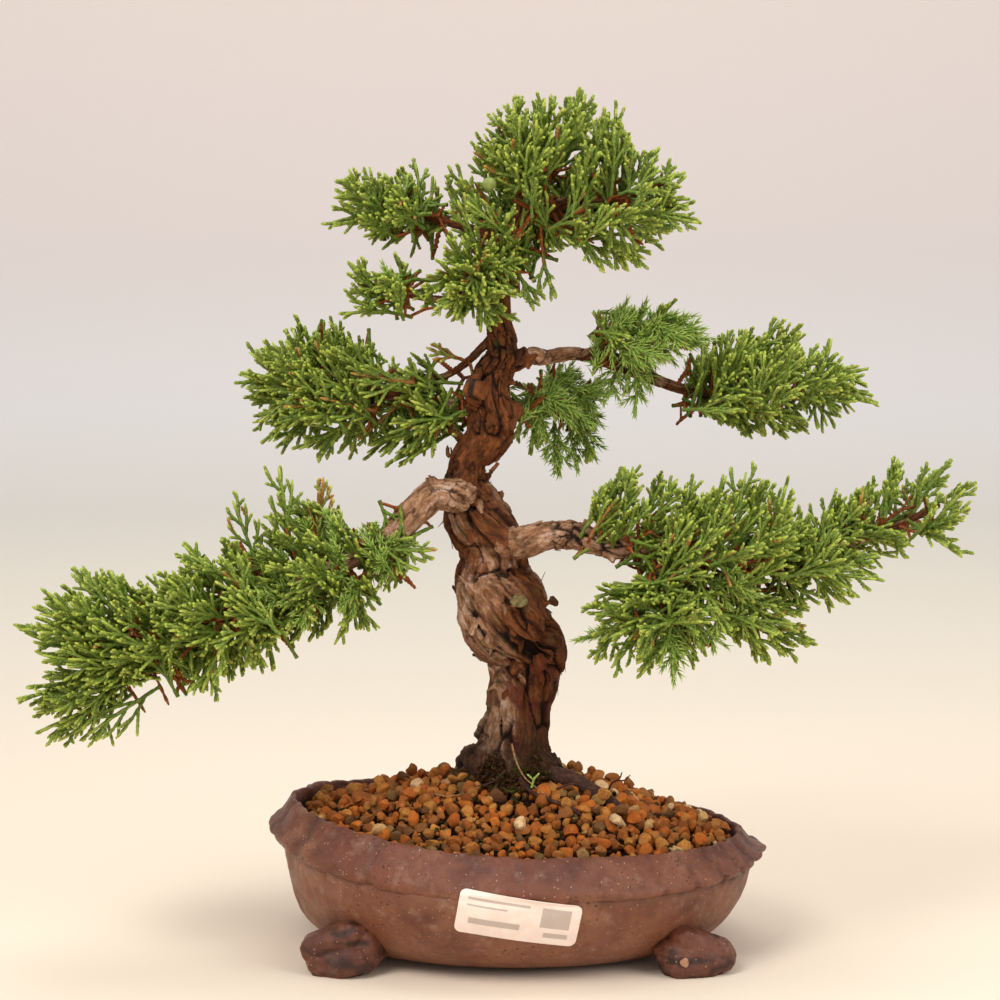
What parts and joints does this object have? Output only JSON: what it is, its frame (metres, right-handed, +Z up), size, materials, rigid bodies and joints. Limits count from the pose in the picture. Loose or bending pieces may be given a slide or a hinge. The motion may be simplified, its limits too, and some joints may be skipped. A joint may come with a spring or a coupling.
{
  "type": "juniper bonsai in an oval pot",
  "caption": "Informal upright juniper bonsai with layered foliage pads, rooted in a mounded bed of baked clay grains in a hand-built oval stoneware pot on folded feet.",
  "frame": {"origin": "on the table, under the middle of the whole tree's bounding box", "axes": "+Z up the trunk, -Y towards the front of the tree, +X to the right seen from the front, along the pot's long side"},
  "size_m": [0.3402, 0.1418, 0.308],
  "materials": {
    "stoneware": "unglazed, hand-smoothed, slightly glossy",
    "drain_plastic": "matte moulded mesh",
    "label_paper": "smooth blank sticker",
    "baked_clay": "rough moist grains",
    "moss": "rough, damp",
    "bark": "rough flaking bark",
    "root_bark": "rough dark bark",
    "scale_foliage": "waxy scale leaves",
    "needle_foliage": "waxy needle leaves"
  },
  "bodies": {
    "root": {"branch_crown_back": "bark", "branch_crown_front": "bark", "branch_crown_left": "bark", "branch_crown_right": "bark", "branch_lower_left": "bark", "branch_lower_right": "bark", "branch_lower_right_drop": "bark", "branch_middle_left": "bark", "branch_middle_right": "bark", "branch_small_right": "bark", "branch_upper_left": "bark", "drain_mesh_left": "drain_plastic", "drain_mesh_right": "drain_plastic", "foot_back_left": "stoneware", "foot_back_right": "stoneware", "foot_front_left": "stoneware", "foot_front_right": "stoneware", "label": "label_paper", "moss_bank": "moss", "pad_crown_back": "scale_foliage", "pad_crown_front": "scale_foliage", "pad_crown_left": "scale_foliage", "pad_crown_right": "scale_foliage", "pad_crown_top": "scale_foliage", "pad_lower_left_inner": "scale_foliage", "pad_lower_left_middle": "scale_foliage", "pad_lower_left_outer": "scale_foliage", "pad_lower_right_inner": "scale_foliage", "pad_lower_right_low": "scale_foliage", "pad_lower_right_middle": "scale_foliage", "pad_lower_right_outer": "scale_foliage", "pad_lower_right_tip": "scale_foliage", "pad_middle_left": "scale_foliage", "pad_middle_right_inner": "needle_foliage", "pad_middle_right_outer": "scale_foliage", "pad_small_right": "needle_foliage", "pad_upper_left": "scale_foliage", "pot_body": "stoneware", "root_front": "root_bark", "root_left": "root_bark", "root_right": "root_bark", "soil_bed": "baked_clay", "trunk": "bark", "twig_middle_left": "bark", "twig_middle_right": "bark"}
  },
  "joints": []
}
